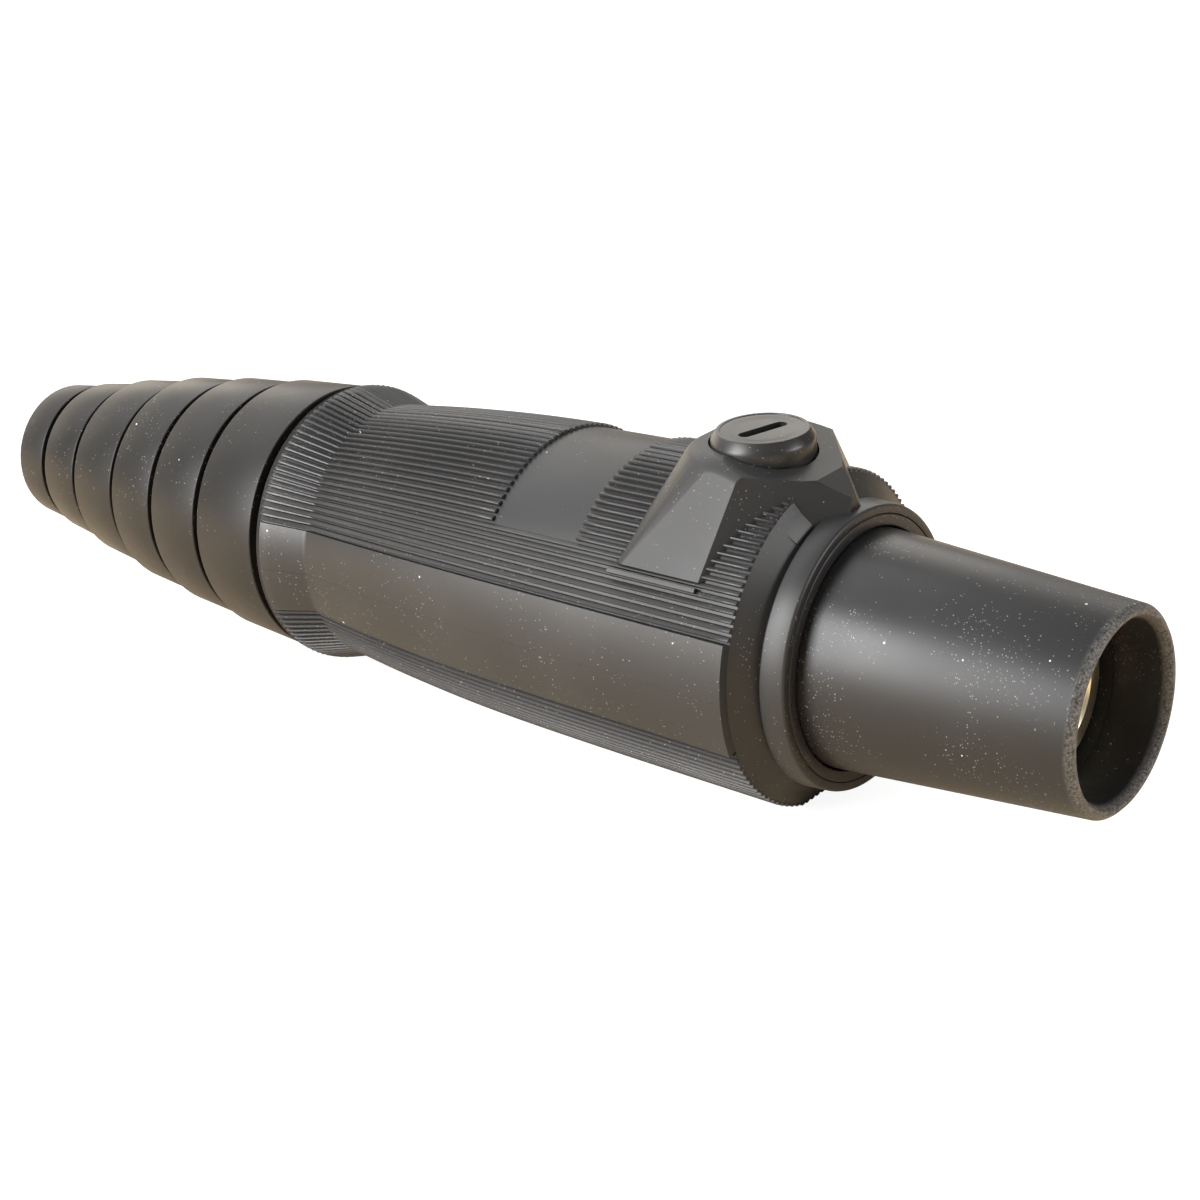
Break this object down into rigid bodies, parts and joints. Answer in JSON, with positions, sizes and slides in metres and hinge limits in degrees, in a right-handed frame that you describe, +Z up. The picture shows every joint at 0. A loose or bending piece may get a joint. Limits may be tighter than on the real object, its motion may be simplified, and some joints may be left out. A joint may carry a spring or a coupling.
{
  "type": "single-pole power plug",
  "caption": "In-line single-pole power plug: ribbed rubber housing with a boss for its retaining screw, tapered nose with a brass socket, and a stepped cable boot.",
  "frame": {"origin": "under the middle of the plug's length, on the surface that it rests on", "axes": "+X along the plug's axis towards the nose, +Z up through the retaining screw"},
  "size_m": [0.2366, 0.0556, 0.0589],
  "materials": {
    "housing_rubber": "satin moulded",
    "boot_rubber": "satin moulded",
    "nose_plastic": "smooth satin",
    "seal_rubber": "satin",
    "contact_brass": "turned",
    "pin_steel": "ground",
    "set_screw_steel": "plated",
    "screw_nylon": "semi-gloss moulded"
  },
  "bodies": {
    "plug_body": {"housing": "housing_rubber", "cable_boot": "boot_rubber", "nose_insulator": "nose_plastic", "front_seal": "seal_rubber", "contact": "contact_brass", "locking_pin": "pin_steel", "set_screw_front": "set_screw_steel", "set_screw_rear": "set_screw_steel"},
    "screw_lift": {"screw_seal": "seal_rubber"},
    "screw": {"retaining_screw": "screw_nylon"}
  },
  "joints": [
    {"name": "screw_rise", "type": "slide", "parent": "plug_body", "child": "screw_lift", "axis": [0, 0, 1], "range_m": [0, 0.0045]},
    {"name": "screw_turn", "type": "hinge", "parent": "screw_lift", "child": "screw", "pos_m": [0.05645, 0, 0.05], "axis": [0, 0, 1], "range_deg": [0, 1080]}
  ],
  "couplings": [
    {"joint": "screw_turn", "follows": "screw_rise", "rad_per_m": 4188.8}
  ]
}
